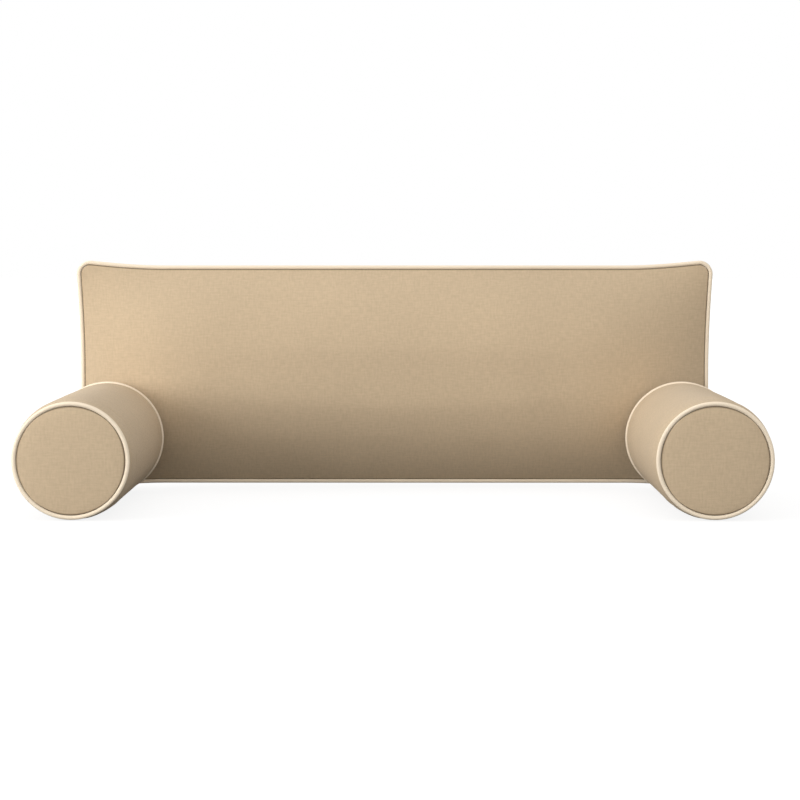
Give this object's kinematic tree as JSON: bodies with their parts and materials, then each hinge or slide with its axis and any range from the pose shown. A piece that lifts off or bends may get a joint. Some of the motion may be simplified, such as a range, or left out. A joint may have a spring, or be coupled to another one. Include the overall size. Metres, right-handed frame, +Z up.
{
  "type": "daybed pillow set",
  "caption": "Long knife-edge back cushion and round bolster pillows with contrast piping, zipped covers and removable inserts, for a daybed or bench.",
  "frame": {"origin": "middle of the set's footprint, on the surface that the set stands on", "axes": "+Z up; +X along the back cushion, to the right of someone who faces its front; +Y from the bolsters' front ends to the back cushion"},
  "size_m": [1.3264, 0.7634, 0.4439],
  "materials": {
    "cover_cloth": "plain-woven sand canvas with a slubbed yarn",
    "piping_cloth": "bias-cut cream cloth folded round a cord",
    "cotton_cord": "twisted white cotton",
    "ticking": "close-woven white cotton",
    "batting": "white polyester fibre",
    "foam": "pale open-cell polyurethane foam",
    "zip_tape": "woven beige tape",
    "zip_teeth": "moulded beige nylon",
    "zip_metal": "satin nickel"
  },
  "bodies": {
    "back_cushion": {"back_fibre_fill": "batting", "back_front_panel": "cover_cloth", "back_insert_front_ticking": "ticking", "back_insert_rear_ticking": "ticking", "back_piping_cord": "cotton_cord", "back_piping_cover": "piping_cloth", "back_rear_lower_panel": "cover_cloth", "back_rear_upper_panel": "cover_cloth", "back_zip_closed_end_stop": "zip_metal", "back_zip_open_end_stop": "zip_metal", "back_zip_tape_a": "zip_tape", "back_zip_tape_b": "zip_tape", "back_zip_teeth_a": "zip_teeth", "back_zip_teeth_b": "zip_teeth"},
    "left_bolster": {"left_bolster_batting_wrap": "batting", "left_bolster_foam_core": "foam", "left_bolster_front_end_panel": "cover_cloth", "left_bolster_front_piping_cord": "cotton_cord", "left_bolster_front_piping_cover": "piping_cloth", "left_bolster_insert_sleeve": "ticking", "left_bolster_rear_end_panel": "cover_cloth", "left_bolster_rear_piping_cord": "cotton_cord", "left_bolster_rear_piping_cover": "piping_cloth", "left_bolster_tube_panel": "cover_cloth", "left_bolster_zip_closed_end_stop": "zip_metal", "left_bolster_zip_open_end_stop": "zip_metal", "left_bolster_zip_tape_a": "zip_tape", "left_bolster_zip_tape_b": "zip_tape", "left_bolster_zip_teeth_a": "zip_teeth", "left_bolster_zip_teeth_b": "zip_teeth"},
    "right_bolster": {"right_bolster_batting_wrap": "batting", "right_bolster_foam_core": "foam", "right_bolster_front_end_panel": "cover_cloth", "right_bolster_front_piping_cord": "cotton_cord", "right_bolster_front_piping_cover": "piping_cloth", "right_bolster_insert_sleeve": "ticking", "right_bolster_rear_end_panel": "cover_cloth", "right_bolster_rear_piping_cord": "cotton_cord", "right_bolster_rear_piping_cover": "piping_cloth", "right_bolster_tube_panel": "cover_cloth", "right_bolster_zip_closed_end_stop": "zip_metal", "right_bolster_zip_open_end_stop": "zip_metal", "right_bolster_zip_tape_a": "zip_tape", "right_bolster_zip_tape_b": "zip_tape", "right_bolster_zip_teeth_a": "zip_teeth", "right_bolster_zip_teeth_b": "zip_teeth"},
    "back_zip_pull": {"back_zip_pull": "zip_metal"},
    "back_zip_slider": {"back_zip_slider": "zip_metal"},
    "left_bolster_zip_pull": {"left_bolster_zip_pull": "zip_metal"},
    "left_bolster_zip_slider": {"left_bolster_zip_slider": "zip_metal"},
    "right_bolster_zip_pull": {"right_bolster_zip_pull": "zip_metal"},
    "right_bolster_zip_slider": {"right_bolster_zip_slider": "zip_metal"}
  },
  "joints": [
    {"name": "left_bolster_lift", "type": "slide", "parent": "back_cushion", "child": "left_bolster", "axis": [0, 0, 1], "range_m": [0, 0.25]},
    {"name": "right_bolster_lift", "type": "slide", "parent": "back_cushion", "child": "right_bolster", "axis": [0, 0, 1], "range_m": [0, 0.25]},
    {"name": "back_zip_slide", "type": "slide", "parent": "back_cushion", "child": "back_zip_slider", "axis": [-1, 0, 0], "range_m": [0, 0.74]},
    {"name": "back_zip_pull_turn", "type": "hinge", "parent": "back_zip_slider", "child": "back_zip_pull", "pos_m": [0.3706, 0.36735, 0.10139], "axis": [0, -0.3662, -0.9305], "range_deg": [0, 170]},
    {"name": "left_bolster_zip_slide", "type": "slide", "parent": "left_bolster", "child": "left_bolster_zip_slider", "axis": [0, -1, 0], "range_m": [0, 0.44]},
    {"name": "left_bolster_zip_pull_turn", "type": "hinge", "parent": "left_bolster_zip_slider", "child": "left_bolster_zip_pull", "pos_m": [-0.6612, 0.15153, 0.1035], "axis": [0, 0, -1], "range_deg": [0, 170]},
    {"name": "right_bolster_zip_slide", "type": "slide", "parent": "right_bolster", "child": "right_bolster_zip_slider", "axis": [0, -1, 0], "range_m": [0, 0.44]},
    {"name": "right_bolster_zip_pull_turn", "type": "hinge", "parent": "right_bolster_zip_slider", "child": "right_bolster_zip_pull", "pos_m": [0.6612, 0.15153, 0.1035], "axis": [0, 0, 1], "range_deg": [0, 170]}
  ]
}
